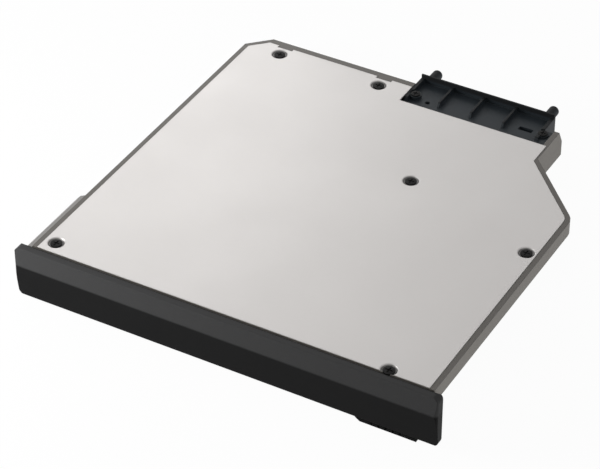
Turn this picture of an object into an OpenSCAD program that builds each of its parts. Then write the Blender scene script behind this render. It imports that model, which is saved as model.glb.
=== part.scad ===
// Solid state drive module for the slim drive bay of a portable computer, in millimetres.
// The origin is the centre of the tray's flat underside.
// +X runs right along the bezel, +Y back to the docking connector, +Z up through the cover.

/* [Body] */
// Width across the side walls
body_w = 128; // [125:0.5:134]
// Depth from the front edge to the rear wall
body_d = 126; // [125:0.5:132]
// Height from the underside to the top of the cover
body_h = 9.5; // [9.5:0.1:12.7]
// Cut across the left rear corner
corner_cut = 6.6; // [4:0.1:9]

/* [Wing] */
// Width of the thin wing on the right
wing_w = 21.3; // [21:0.1:24]
// Thickness of the wing
wing_t = 4.7; // [4.4:0.1:5]
// Length of the side wall behind the slanted edge
notch_run = 17.4; // [14:0.1:18]
// Depth over which the wing's rear edge slants
wing_cut = 22.3; // [18:0.1:24]
// Radius of the wing's rear corner
wing_round = 5; // [3:0.5:6]

/* [Tray] */
// Thickness of the tray floor
floor_t = 1; // [0.9:0.05:1.2]
// Thickness of the wing's floor
wing_floor_t = 0.8; // [0.7:0.05:1]
// Width of the rim that shows beside the cover
rim_side = 1.6; // [1.2:0.1:1.9]
// Width of the rim that shows behind the cover
rim_rear = 2.3; // [1.8:0.1:2.6]
// Width of the ledge that carries the cover
ledge_w = 0.9; // [0.6:0.1:1.2]
// Thickness of the tray's front wall
front_wall_t = 1.6; // [1.2:0.1:1.8]

/* [Cover] */
// Thickness of the cover sheet
cover_t = 0.6; // [0.5:0.05:0.8]
// Radius of a screw dimple at the surface
dimple_r = 2.6; // [2.5:0.05:2.7]
// Depth of a screw dimple
dimple_depth = 0.5; // [0.45:0.05:0.55]

/* [Cover screws] */
// Radius of the screw heads
screw_head_r = 1.75; // [1.6:0.05:1.95]
// Radius of the screw shanks
screw_shank_r = 0.95; // [0.8:0.05:1]
// Length of the screw shanks
screw_len = 3.1; // [2.6:0.1:3.2]

/* [Bezel] */
// How far the bezel reaches past the body on the left
bezel_over_left = 4.2; // [3:0.1:5]
// How far the bezel reaches past the body on the right
bezel_over_right = 2.6; // [1.5:0.1:3]
// How far the bezel stands in front of the body, at the crease
bezel_proud = 3.6; // [3.4:0.1:4]
// How far the bezel hangs below the tray
bezel_drop = 8.1; // [7.5:0.1:9]
// Depth below the cover at which the front face bends back
crease_drop = 6; // [5:0.1:7]
// How far the upper face leans back at the top
upper_lean = 0.6; // [0.3:0.05:0.8]
// How far the lower face leans back at the bottom
lower_lean = 1.6; // [1:0.05:1.7]
// Wall thickness of the bezel
bezel_wall = 1.1; // [1:0.05:1.2]

/* [Drive] */
// Width of the 2.5-inch drive
ssd_w = 69.85; // [69.6:0.05:70.1]
// Room in front of the drive
ssd_front_room = 8; // [7.7:0.1:8.6]
// Height of the drive
ssd_h = 7; // [6.8:0.05:7]
// Wall thickness of the drive's case
ssd_wall = 0.9; // [0.8:0.05:1]

/* [Docking connector] */
// Width of the connector housing
conn_w = 45.1; // [44.8:0.1:46]
// Depth of the connector housing
conn_d = 15.2; // [14.9:0.1:16]
// How far the housing stands behind the tray's rear wall
conn_proud = 4.8; // [4.4:0.1:5.2]
// Depth of the pockets in the top of the housing
pocket_depth = 1.6; // [1.2:0.1:1.8]
// Distance between the two guide pins
pin_pitch = 39.7; // [39:0.1:40.5]
// Radius of a guide pin
pin_r = 1.65; // [1.4:0.05:1.7]
// Length of a guide pin behind the housing
pin_len = 5.6; // [5:0.1:7]
// Number of contacts in a row
contact_count = 30; // [20:1:30]
// Distance between neighbouring contacts
contact_pitch = 1; // [0.9:0.05:1]

/* [Latch] */
// Width of the thumb pad
pad_w = 19.1; // [17:0.1:19.5]
// Height of the thumb pad
pad_h = 1.05; // [0.9:0.05:1.6]
// Distance that the latch slides to let go
latch_travel = 2.2; // [1.8:0.1:2.2]
// Number of turns of the latch spring
spring_turns = 6; // [5:1:8]

/* [Hidden] */

// The overrun of every cut, and the clearances
over = 0.4;
seat_gap = 0.1;
thread_gap = 0.05;
screw_sink = 0.05;
$fn = 48;

// Edges of the body
left = -body_w/2;
right = body_w/2;
front = -body_d/2;
rear = body_d/2;
main_right = right - wing_w;
wing_z = body_h - wing_t;
wing_run = body_d - wing_cut - notch_run;
slant = atan2(wing_w, wing_cut);

// Insets of the cover, of the tray's inside and of its deep part, edge by edge:
// front, right side, slanted edge, notch wall, rear, left corner, left side
cover_front_gap = 0.3;
rim_notch = 0.5;
notch_ledge_w = 1.1;
notch_wall_t = rim_notch + notch_ledge_w;
side_wall_t = rim_side + ledge_w;
rear_wall_t = rim_rear + ledge_w;
round_steps = 3;
cover_insets = [cover_front_gap, rim_side, each [for (i = [1:round_steps]) rim_side], rim_side,
    rim_notch, rim_rear, rim_side, rim_side];
cavity_insets = [front_wall_t, side_wall_t, each [for (i = [1:round_steps]) side_wall_t],
    side_wall_t, notch_wall_t, rear_wall_t, side_wall_t, side_wall_t];
deep_insets = [front_wall_t, notch_wall_t, rear_wall_t, side_wall_t, side_wall_t];
rim_drop = 0.1;
rim_top = body_h - rim_drop;
ledge_z = body_h - cover_t;
rear_slant_d = 2.3;
rear_slant_h = 4.4;
tab_w = 5;
tab_d = 0.9;

// Dimples, bosses and screws of the cover
dimple_floor_r = dimple_r - dimple_depth;
dimple_floor_z = body_h - dimple_depth;
dimple_skin = 0.2;
boss_top = ledge_z - dimple_depth;
boss_r = 2.3;
screw_head_h = 0.42;
screw_hole_gap = 0.15;
cross_w = 0.45;
cross_depth = 0.25;
cross_reach_share = 0.62;

// Drive: a standard case, placed from the left wall and from the rear
ssd_side_gap = 0.8;
adapter_room = 17.8;
drive_seat_h = 0.2;
ssd_x0 = left + side_wall_t + ssd_side_gap;
ssd_x1 = ssd_x0 + ssd_w;
ssd_y1 = rear - adapter_room;
ssd_y0 = front + ssd_front_room;
ssd_l = ssd_y1 - ssd_y0;
ssd_z0 = floor_t + drive_seat_h;
ssd_z1 = ssd_z0 + ssd_h;

// Docking connector: its place
conn_right_in = 4.6;
conn_top_drop = 0.2;
conn_x1 = main_right - conn_right_in;
conn_x0 = conn_x1 - conn_w;
conn_mid = (conn_x0 + conn_x1)/2;
conn_y1 = rear + conn_proud;
conn_y0 = conn_y1 - conn_d;
conn_top = body_h - conn_top_drop;
ear_x1 = main_right - notch_wall_t - seat_gap;

// Places of the six cover screws, each with the floor under its boss
rear_screw_in = 6.55;
left_screw_in = 12.5;
middle_screw_gap = 9.5;
centre_boss_gap = 3.65;
centre_screw_share = 0.637;
wing_screw_in = 4.6;
wing_screw_share = 0.762;
front_left_in = [5.25, 4.45];
front_right_in = [6.8, 1.6];
wing_inside_z = wing_z + wing_floor_t;
rear_left_screw = [left + left_screw_in, rear - rear_screw_in];
rear_middle_screw = [conn_x0 - middle_screw_gap, rear - rear_screw_in];
front_right_screw = [main_right + front_right_in[0], front + front_right_in[1]];
screw_places = [
    [rear_left_screw[0], rear_left_screw[1], floor_t],
    [rear_middle_screw[0], rear_middle_screw[1], floor_t],
    [ssd_x1 + centre_boss_gap + boss_r, front + centre_screw_share*body_d, floor_t],
    [right - wing_screw_in, front + wing_screw_share*wing_run, wing_inside_z],
    [left + front_left_in[0], front + front_left_in[1], floor_t],
    [front_right_screw[0], front_right_screw[1], wing_inside_z]];

// Bezel: outline and fixings
bezel_x0 = left - bezel_over_left;
bezel_x1 = right + bezel_over_right;
bezel_front = front - bezel_proud;
bezel_bottom = -bezel_drop;
crease_z = body_h - crease_drop;
top_round = 0.6;
upper_tilt = atan2(upper_lean, crease_drop - top_round);
top_front = bezel_front + upper_lean;
bottom_round = 0.5;
corner_round = 1.9;
plan_round = 1.1;
shadow_groove_w = 0.9;
shadow_groove_h = 0.6;
rib_t = 0.9;
rib_pitch = 15;
rib_root = 0.2;
lug_w = 9;
lug_l = 6.6;
lug_h = 1.4;
lug_left_in = 24;
lug_right_in = 22.2;
lug_x = [left + lug_left_in, main_right - lug_right_in];
lug_screw_in = 3.8;
lug_screw_head_r = 1.8;
lug_screw_head_h = 0.9;
lug_screw_r = 0.9;
lug_gap = 0.1;

// Guide rail on the left wall
rail_w = 2.6;
rail_l = 29.4;
rail_h = 5.5;
rail_front_gap = 0.2;
rail_top_drop = 1.2;
rail_edge = 0.7;
rail_lead = 2.4;
rail_screw_shares = [0.22, 0.78];
rail_screw_head_r = 1.5;
rail_screw_head_h = 0.8;
rail_screw_r = 0.75;
rail_screw_grip = 2;
rail_z1 = body_h - rail_top_drop;
rail_z0 = rail_z1 - rail_h;
rail_mid_z = (rail_z0 + rail_z1)/2;
rail_y0 = front + rail_front_gap;

// Adapter board
board_t = 1;
post_h = 0.3;
board_z0 = floor_t + post_h;
board_z1 = board_z0 + board_t;
board_corner_gap = 0.4;
board_edge_gap = 0.6;
board_front_gap = 0.8;
board_rear_gap = 0.3;
board_x0 = left + corner_cut + board_corner_gap;
board_x1 = main_right - notch_wall_t - board_edge_gap;
board_y0 = ssd_y1 + board_front_gap;
board_y1 = rear - rear_wall_t - board_rear_gap;
post_r = 2;
sheet_t = 0.2;
sheet_in = 0.5;
sheet_right_in = 4;
board_screw_head_r = 1.4;
board_screw_head_h = 0.5;
board_screw_r = 0.7;
board_screw_end_z = 0.35;
board_screw_in = 2.6;

// Docking connector: pockets, bosses and the mating slot
pocket_z = conn_top - pocket_depth;
conn_rear_wall = 0.9;
conn_lip_rise = 1.2;
conn_lip_z = conn_top + conn_lip_rise;
conn_end_wall = 1.1;
conn_rib_t = 0.7;
conn_rib_pitch = 10.8;
conn_rib_shift = -0.85;
rib_foot_in = 2;
rib_top_in = 3;
conn_rib_in = 2;
conn_edge = 0.4;
pin_drop = 1.5;
pin_z = conn_top - pin_drop;
pin_round = 1;
pin_root = 0.8;
pin_collar_r = 1.95;
pin_collar_h = 0.3;
conn_screw_in = 6;
conn_screw_left_in = 2.2;
conn_screw_right_out = 0.1;
conn_screw_y = conn_y0 + conn_screw_in;
conn_screw_x = [conn_x0 + conn_screw_left_in, conn_x1 + conn_screw_right_out];
conn_boss_r = 1.9;
conn_boss_drop = 0.5;
conn_boss_top = conn_top - conn_boss_drop;
conn_post_r = 1.55;
conn_post_top = 4.5;
conn_post_gap = 0.15;
conn_screw_head_r = 1.45;
conn_screw_head_h = 0.4;
conn_screw_r = 0.75;
conn_screw_len = 6.6;
ear_d = 8.4;
ear_front_in = 0.6;
ear_drop = 0.5;
slot_w = 34.6;
slot_h = 3.6;
slot_d = 6;
slot_z = 2.9;
tongue_t = 1.2;
tongue_end_in = 0.8;
tongue_tip_in = 0.7;
mating_z0 = slot_z + (slot_h - tongue_t)/2;
contact_w = 0.5;
contact_t = 0.15;
contact_l = 4.6;
contact_tip_in = 0.5;
window_w = 4.4;
window_d = 1.7;
window_in = [5.9, 6.9];
vent_r = 0.75;
vent_in = [6.9, 5];
vent_depth = 1.2;

// Latch: the slider lies in the bezel under the wing
pad_left_out = 1.6;
pad_x0 = main_right - pad_left_out;
pad_x1 = pad_x0 + pad_w;
pad_gap = 0.1;
pad_top = bezel_bottom - pad_gap;
pad_bottom = pad_top - pad_h;
pad_slant = 1.5;
pad_end = 0.3;
pad_t = 1.7;
slider_t = 0.7;
slider_gap = 0.05;
slider_left_in = 5.3;
slider_right_in = 3;
neck_in = 1;
slider_foot_gap = 0.15;
slider_head_drop = 1.2;
slider_x0 = pad_x0 + slider_left_in;
slider_x1 = pad_x1 - slider_right_in;
neck_x0 = slider_x0 + neck_in;
neck_x1 = slider_x1 - neck_in;
grip_count = 5;
grip_w = 0.6;
grip_d = 0.3;
grip_rise = 0.3;
grip_pitch = 2.2;
arm_in = 2.1;
arm_w = 3;
arm_l = 6.5;
arm_t = 1.6;
arm_z0 = 1;
arm_z1 = arm_z0 + arm_t;
arm_x0 = slider_x0 + arm_in;
arm_x1 = arm_x0 + arm_w;
barb_w = 1.6;
barb_l = 1.8;
barb_slope = 1.1;
keeper_t = 0.5;
keeper_right_in = 0.6;
keeper_edge_gap = 0.5;
keeper_bottom_gap = 1.3;
keeper_slot_gap = 0.25;
keeper_x0 = main_right + keeper_edge_gap;
keeper_x1 = right - keeper_right_in;
keeper_z0 = bezel_bottom + keeper_bottom_gap;
keeper_z1 = wing_z - keeper_edge_gap;
keeper_tab_in = 2;
keeper_tab_l = 3.6;
keeper_tab_z = [0.4, 3.4];
keeper_tab_x1 = keeper_x1 - keeper_tab_in;
keeper_tab_x0 = keeper_tab_x1 - keeper_t;
latch_screw_in = 1.5;
latch_screw_z = -3.3;
latch_screw_head_r = 1.3;
latch_screw_head_h = 0.5;
latch_screw_r = 0.6;
latch_screw_grip = 1.3;
latch_boss_r = 1.4;
latch_boss_l = 2;
latch_screw_x = [keeper_x0 + latch_screw_in, keeper_x1 - latch_screw_in];
spring_r = 1;
spring_wire_r = 0.18;
spring_out = 2.1;
spring_end_gap = 0.05;
spring_post_r = 0.6;
spring_post_l = 1.8;
spring_y = front + spring_out;
spring_z = (arm_z0 + arm_z1)/2;
spring_x0 = arm_x1 + spring_end_gap + spring_wire_r;
spring_x1 = keeper_tab_x0 - spring_end_gap - spring_wire_r;
rings_per_turn = 8;
spring_sides = 6;
ring_count = spring_turns*rings_per_turn;

// Drive: shell, fixings and board
lid_t = 1;
ssd_floor_t = 0.8;
base_top = ssd_z1 - lid_t;
base_floor = ssd_z0 + ssd_floor_t;
lid_lip_h = 0.6;
lid_lip_t = 0.8;
lid_gap = 0.15;
lid_lip_end_in = 12;
lid_screw_in = 3.4;
lid_boss_r = 2.4;
lid_screw_head_r = 1.5;
lid_screw_head_h = 0.8;
lid_screw_r = 0.8;
lid_screw_len = 3.6;
mount_side_in = 4.065;
mount_rear_in = 14;
mount_front_in = 9.6;
mount_boss_r = 2.9;
mount_screw_r = 1.5;
mount_head_r = 2.6;
mount_head_h = 0.95;
mount_screw_end = 3.2;
seat_ring_r = 3.6;
pcb_z0 = 3.5;
pcb_t = 1;
pcb_z1 = pcb_z0 + pcb_t;
pcb_side_in = 1.5;
pcb_front_in = 6.5;
pcb_rear_in = 8.5;
pcb_x0 = ssd_x0 + pcb_side_in;
pcb_x1 = ssd_x1 - pcb_side_in;
pcb_y0 = ssd_y0 + pcb_front_in;
pcb_y1 = ssd_y1 - pcb_rear_in;
guide_h = 3;
guide_t = 1;
guide_l = 9;
guide_gap = 0.15;
guide_shares = [0.18, 0.72];
case_round = 3;

// Drive plug and the receptacle that takes it
plug_w = 40;
plug_right_in = 6.4;
plug_mid = ssd_x1 - plug_right_in - plug_w/2;
plug_body_l = 5;
plug_body_h = 2;
plug_body_in = 2;
plug_x0 = plug_mid - plug_w/2;
plug_y0 = pcb_y1 - plug_body_in;
plug_y1 = plug_y0 + plug_body_l;
plug_tongue_lift = 0.4;
plug_tongue_t = 1.2;
plug_tongue_l = 5.2;
signal_w = 10.4;
power_w = 20.6;
key_gap = 2.4;
tongue_z0 = pcb_z1 + plug_tongue_lift;
tongue_z1 = tongue_z0 + plug_tongue_t;
signal_x0 = plug_mid - (signal_w + key_gap + power_w)/2;
power_x0 = signal_x0 + signal_w + key_gap;
pad_pitch = 1.27;
pad_size = [0.8, 4, 0.06];
signal_pads = 7;
power_pads = 15;
nose_w = 36.4;
nose_l = 5;
nose_skin = 0.9;
nose_gap = 0.15;
receptacle_w = 41;
receptacle_l = 6;
receptacle_gap = 0.3;
receptacle_y0 = ssd_y1 + receptacle_gap;
receptacle_y1 = receptacle_y0 + receptacle_l;
receptacle_top = tongue_z1 + nose_skin;
receptacle_screw_gap = 5.2;
receptacle_screw_x = plug_mid + receptacle_w/2 + receptacle_screw_gap;
tail_w = 0.5;
tail_t = 0.2;
tail_l = 1.1;
tail_h = 1.4;
window_side_gap = 0.4;

// Chips: sizes, and places as shares of the board or of the zone that holds them
memory_size = [12, 18, 1.3];
memory_column_shares = [0.14, 0.38, 0.62, 0.86];
memory_row_shares = [0.15, 0.46];
controller_size = [15, 15, 1.3];
controller_share = [0.42, 0.74];
cache_size = [8, 12, 1];
cache_share = [0.72, 0.74];
passive_size = [3.2, 1.6, 1.3];
passive_shares = [0.08, 0.17, 0.26, 0.86, 0.95];
passive_row_share = 0.9;
choke_size = [5, 5, 2];
choke_share = [0.13, 0.72];
pad_margin = 0.5;
bridge_size = [7, 5, 1];
bridge_screw_gap = 6;
bridge_front_in = 3.2;
regulator_size = [5, 5, 0.9];
small_size = [2, 1.25, 0.9];
small_in = [5.6, 1.5];
small_pitch = 2.8;
small_conn_gap = 3.2;
foam_w = 8;
foam_column_shares = [0.2, 0.8];
foam_length_share = 0.6;

// Left-hand normal of a run from p to q, which points inward on an outline drawn anticlockwise
function inward(p, q) = let (u = (q - p)/norm(q - p)) [-u[1], u[0]];

// An outline moved inward, edge by edge
function inset(points, dists) = let (n = len(points)) [for (i = [0:n - 1])
    let (before = (i + n - 1)%n,
        a = inward(points[before], points[i]),
        b = inward(points[i], points[(i + 1)%n]),
        d = a[0]*b[1] - a[1]*b[0])
    points[i] + [(dists[before]*b[1] - dists[i]*a[1])/d, (dists[i]*a[0] - dists[before]*b[0])/d]];

function rail_screw_y(share) = rail_y0 + share*rail_l;

function grown(dists, gap) = [for (d = dists) d - gap];

// Points of an arc round a centre, from one angle to another
function arc(centre, r, from, to, steps = 6) = [for (i = [0:steps])
    let (a = from + (to - from)*i/steps) centre + r*[cos(a), sin(a)]];

body_outline = [[left, front], [right, front],
    each arc([right - wing_round, front + wing_run - wing_round*tan(slant/2)], wing_round, 0, slant,
        round_steps),
    [main_right, front + wing_run + wing_cut], [main_right, rear], [left + corner_cut, rear],
    [left, rear - corner_cut]];
deep_outline = [[left, front], [main_right, front], [main_right, rear], [left + corner_cut, rear],
    [left, rear - corner_cut]];

bezel_profile = concat(
    [[front, bezel_bottom], [front, body_h - shadow_groove_h]],
    [[front - shadow_groove_w, body_h - shadow_groove_h], [front - shadow_groove_w, body_h]],
    arc([top_front + top_round, body_h - top_round], top_round, 90, 180 - upper_tilt),
    [[bezel_front, crease_z]],
    arc([bezel_front + lower_lean + bottom_round, bezel_bottom + bottom_round], bottom_round,
        180, 270));
bezel_inside = [[front + over, bezel_bottom + bezel_wall], [front + over, body_h - bezel_wall],
    [top_front + bezel_wall, body_h - bezel_wall], [bezel_front + bezel_wall, crease_z],
    [bezel_front + lower_lean + bezel_wall, bezel_bottom + bezel_wall]];
rib_profile = [[front, bezel_bottom + bezel_wall/2], [front, body_h - bezel_wall + rib_root],
    [top_front + bezel_wall/2, body_h - bezel_wall + rib_root],
    [bezel_front + bezel_wall/2, crease_z],
    [bezel_front + lower_lean + bezel_wall/2, bezel_bottom + bezel_wall/2]];

module slab(points, z0, z1) translate([0, 0, z0]) linear_extrude(z1 - z0) polygon(points);

module block(from, to) translate(from) cube(to - from);

module along_x(x0, x1) translate([x0, 0, 0]) rotate([90, 0, 90]) linear_extrude(x1 - x0) children();

module along_y(y0, y1) translate([0, y1, 0]) rotate([90, 0, 0]) linear_extrude(y1 - y0) children();

// Rectangle with round corners, made of two crossed squares and four discs
module round_rect(from, to, r) {
    translate([from[0] + r, from[1]]) square([to[0] - from[0] - 2*r, to[1] - from[1]]);
    translate([from[0], from[1] + r]) square([to[0] - from[0], to[1] - from[1] - 2*r]);
    for (x = [from[0] + r, to[0] - r], y = [from[1] + r, to[1] - r]) translate([x, y]) circle(r);
}

// A box set down on its bottom centre
module chip(place, size) translate([place[0] - size[0]/2, place[1] - size[1]/2, place[2]]) cube(size);

// Countersunk screw seen from its head, along +Z, and the hole for it when grown by a gap
module flat_screw(head_r, head_h, shank_r, length, gap = 0) {
    cylinder(h = head_h, r1 = head_r + gap, r2 = shank_r + gap);
    cylinder(h = length + gap, r = shank_r + gap);
}

module cross_slot(r, top) {
    for (turn = [0, 90])
        rotate(turn)
            translate([-cross_reach_share*r, -cross_w/2, top - cross_depth])
                cube([2*cross_reach_share*r, cross_w, cross_depth + over]);
}

// The pressed cone round a screw, between the sheet and the boss
module dimple_cone(gap = 0)
    translate([0, 0, boss_top])
        cylinder(h = dimple_depth, r1 = dimple_floor_r + dimple_skin + gap,
            r2 = dimple_r + dimple_skin + gap);

module at_cover_screws() for (p = screw_places) translate([p[0], p[1], 0]) children();

module at_connector_screws() for (x = conn_screw_x) translate([x, conn_screw_y, 0]) children();

module at_drive_screws()
    for (x = [ssd_x0 + mount_side_in, ssd_x1 - mount_side_in],
        y = [ssd_y0 + mount_front_in, ssd_y1 - mount_rear_in])
        translate([x, y, 0]) children();

module at_lid_screws()
    for (x = [ssd_x0 + lid_screw_in, ssd_x1 - lid_screw_in],
        y = [ssd_y0 + lid_screw_in, ssd_y1 - lid_screw_in])
        translate([x, y, 0]) children();

module at_board_screws()
    for (x = [board_x0 + board_screw_in, receptacle_screw_x])
        translate([x, board_y0 + board_screw_in, 0]) children();

module at_rear_bosses()
    for (p = [rear_left_screw, rear_middle_screw]) translate([p[0], p[1], 0]) children();

module at_lugs() for (x = lug_x) translate([x, front + lug_screw_in, 0]) children();

// Tabs of the rear rim that reach into the cover behind the two rear screws
module rim_tabs(gap = 0)
    for (p = [rear_left_screw, rear_middle_screw])
        block([p[0] - tab_w/2 - gap, rear - rim_rear - tab_d - gap, boss_top],
            [p[0] + tab_w/2 + gap, rear - rim_rear + over, body_h + over]);

module connector_recess(gap)
    block([conn_x0 - gap, conn_y0 - gap, boss_top - over], [right, rear + over, body_h + over]);

module base_tray()
    color("#6e6a65")
    difference() {
        union() {
            difference() {
                union() {
                    slab(deep_outline, 0, rim_top);
                    slab(body_outline, wing_z, rim_top);
                }
                slab(inset(deep_outline, deep_insets), floor_t, body_h + over);
                slab(inset(body_outline, cavity_insets), wing_inside_z, body_h + over);
            }
            intersection() {
                for (p = screw_places)
                    translate([p[0], p[1], p[2] - wing_floor_t/2])
                        cylinder(h = boss_top - p[2] + wing_floor_t/2, r = boss_r);
                slab(body_outline, 0, boss_top);
            }
            at_connector_screws() cylinder(h = conn_post_top, r = conn_post_r);
            at_board_screws() cylinder(h = board_z0, r = post_r);
            at_drive_screws() cylinder(h = ssd_z0, r = seat_ring_r);
            drive_guides();
        }
        difference() {
            slab(inset(body_outline, grown(cover_insets, seat_gap)), ledge_z, body_h + over);
            rim_tabs();
            connector_recess(0);
        }
        at_cover_screws() dimple_cone(seat_gap);
        at_cover_screws() translate([0, 0, ledge_z]) cylinder(h = body_h, r = screw_head_r + 2*seat_gap);
        at_cover_screws()
            translate([0, 0, dimple_floor_z - screw_len - seat_gap])
                cylinder(h = screw_len, r = screw_shank_r + thread_gap);
        block([conn_x0 - seat_gap, rear - rear_wall_t - over, floor_t],
            [main_right - notch_wall_t, rear + over, body_h + over]);
        along_x(main_right - notch_wall_t - over, main_right + over)
            polygon([[rear - rear_slant_d, rim_top], [rear, rim_top - rear_slant_h],
                [rear + over, rim_top - rear_slant_h], [rear + over, rim_top + over],
                [rear - rear_slant_d, rim_top + over]]);
        for (x = lug_x)
            block([x - lug_w/2 - lug_gap, front - over, floor_t],
                [x + lug_w/2 + lug_gap, front + front_wall_t + over,
                    floor_t + lug_h + lug_gap]);
        at_lugs() screw_hole(lug_screw_head_r, lug_screw_head_h, lug_screw_r, floor_t + over);
        at_drive_screws() screw_hole(mount_head_r, mount_head_h, mount_screw_r, ssd_z0 + over);
        at_connector_screws()
            translate([0, 0, conn_boss_top - conn_screw_len - seat_gap])
                cylinder(h = conn_screw_len, r = conn_screw_r + thread_gap);
        at_board_screws()
            translate([0, 0, board_screw_end_z - thread_gap])
                cylinder(h = board_z1, r = board_screw_r + thread_gap);
        for (share = rail_screw_shares)
            translate([left, rail_screw_y(share), rail_mid_z])
                rotate([0, 90, 0])
                    translate([0, 0, -over])
                        cylinder(h = rail_screw_grip + over + thread_gap, r = rail_screw_r + thread_gap);
    }

// A countersunk hole from the underside of the tray
module screw_hole(head_r, head_h, shank_r, length) {
    translate([0, 0, screw_sink]) flat_screw(head_r, head_h, shank_r, length, thread_gap);
    translate([0, 0, -over]) cylinder(h = over + screw_sink, r = head_r + thread_gap);
}

// Ribs that hold the drive sideways
module drive_guides()
    for (share = guide_shares) {
        y = ssd_y0 + share*ssd_l;
        block([left + rim_side, y, floor_t/2], [ssd_x0 - guide_gap, y + guide_l, floor_t + guide_h]);
        block([ssd_x1 + guide_gap, y, floor_t/2],
            [ssd_x1 + guide_gap + guide_t, y + guide_l, floor_t + guide_h]);
    }

module top_cover()
    color("#d9d5d2")
    difference() {
        intersection() {
            union() {
                slab(inset(body_outline, cover_insets), ledge_z, body_h);
                at_cover_screws() dimple_cone();
            }
            slab(inset(body_outline, cover_insets), boss_top - over, body_h + over);
        }
        at_cover_screws()
            translate([0, 0, dimple_floor_z])
                cylinder(h = dimple_depth, r1 = dimple_floor_r, r2 = dimple_r);
        at_cover_screws()
            translate([0, 0, boss_top - over])
                cylinder(h = body_h, r = screw_shank_r + screw_hole_gap);
        rim_tabs(seat_gap);
        connector_recess(seat_gap);
    }

module cover_screws()
    color("#1b1a1a")
    at_cover_screws()
        difference() {
            translate([0, 0, dimple_floor_z - screw_len]) {
                cylinder(h = screw_len + screw_head_h, r = screw_shank_r);
                translate([0, 0, screw_len]) cylinder(h = screw_head_h/2, r = screw_head_r);
                translate([0, 0, screw_len + screw_head_h/2])
                    cylinder(h = screw_head_h/2, r1 = screw_head_r, r2 = screw_head_r - screw_head_h/2);
            }
            cross_slot(screw_head_r, dimple_floor_z + screw_head_h);
        }

module bezel_solid()
    intersection() {
        along_x(bezel_x0, bezel_x1) polygon(bezel_profile);
        along_y(bezel_front - over, front + over)
            round_rect([bezel_x0, bezel_bottom], [bezel_x1, body_h], corner_round);
        translate([0, 0, bezel_bottom - over])
            linear_extrude(body_h - bezel_bottom + 2*over)
                round_rect([bezel_x0, bezel_front], [bezel_x1, front + 2*plan_round], plan_round);
    }

module front_bezel()
    color("#2a2a2b")
    difference() {
        union() {
            difference() {
                bezel_solid();
                along_x(bezel_x0 + bezel_wall, bezel_x1 - bezel_wall) polygon(bezel_inside);
            }
            for (x = [bezel_x0 + rib_pitch:rib_pitch:pad_x0 - rib_pitch/2])
                along_x(x, x + rib_t) polygon(rib_profile);
            for (x = lug_x)
                block([x - lug_w/2, bezel_front + bezel_wall/2, floor_t],
                    [x + lug_w/2, front + lug_l, floor_t + lug_h]);
            for (x = latch_screw_x)
                translate([x, front, latch_screw_z])
                    rotate([90, 0, 0]) cylinder(h = latch_boss_l, r = latch_boss_r);
        }
        block([neck_x0 - slider_gap, front - slider_t - 2*slider_gap - seat_gap, pad_top - over],
            [neck_x1 + latch_travel + seat_gap, front + over, bezel_bottom + bezel_wall + over]);
        at_lugs() cylinder(h = body_h, r = lug_screw_r + thread_gap);
        for (x = latch_screw_x)
            translate([x, front + over, latch_screw_z])
                rotate([90, 0, 0])
                    cylinder(h = over + latch_screw_grip + thread_gap, r = latch_screw_r + thread_gap);
    }

module bezel_screws()
    color("#2b2b2b")
    at_lugs()
        translate([0, 0, screw_sink])
            flat_screw(lug_screw_head_r, lug_screw_head_h, lug_screw_r,
                floor_t + lug_h - screw_sink);

module side_guide_rail()
    color("#8d8a86")
    difference() {
        intersection() {
            along_y(rail_y0, rail_y0 + rail_l)
                polygon([[left, rail_z0], [left, rail_z1], [left - rail_w + rail_edge, rail_z1],
                    [left - rail_w, rail_z1 - rail_edge], [left - rail_w, rail_z0 + rail_edge],
                    [left - rail_w + rail_edge, rail_z0]]);
            slab([[left - rail_w, front], [left, front], [left, rail_y0 + rail_l],
                [left - rail_w, rail_y0 + rail_l - rail_lead]], 0, body_h);
        }
        for (share = rail_screw_shares)
            translate([left - rail_w, rail_screw_y(share), rail_mid_z])
                rotate([0, 90, 0])
                    screw_hole(rail_screw_head_r, rail_screw_head_h, rail_screw_r, rail_w + over);
    }

module rail_screws()
    color("#3a3a3a")
    for (share = rail_screw_shares)
        translate([left - rail_w + screw_sink, rail_screw_y(share), rail_mid_z])
            rotate([0, 90, 0])
                flat_screw(rail_screw_head_r, rail_screw_head_h, rail_screw_r,
                    rail_w + rail_screw_grip - screw_sink);

// Side view of a wall that stands on the pocket floor and leans up to its full height
module pocket_wall(x, t, front_in = 0)
    along_x(x, x + t)
        polygon([[conn_y0 + rib_foot_in + front_in, pocket_z - over],
            [conn_y0 + rib_foot_in + front_in, pocket_z],
            [conn_y0 + rib_top_in + front_in, conn_top], [conn_y1 - conn_rear_wall/2, conn_top],
            [conn_y1 - conn_rear_wall/2, pocket_z - over]]);

module guide_pin()
    rotate([-90, 0, 0]) {
        translate([0, 0, -pin_root]) cylinder(h = pin_root + pin_collar_h, r = pin_collar_r);
        cylinder(h = pin_len - pin_round, r = pin_r);
        translate([0, 0, pin_len - pin_round])
            rotate_extrude()
                intersection() {
                    union() {
                        translate([pin_r - pin_round, 0]) circle(pin_round);
                        square([pin_r - pin_round, pin_round]);
                    }
                    square([pin_r, pin_round]);
                }
    }

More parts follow.
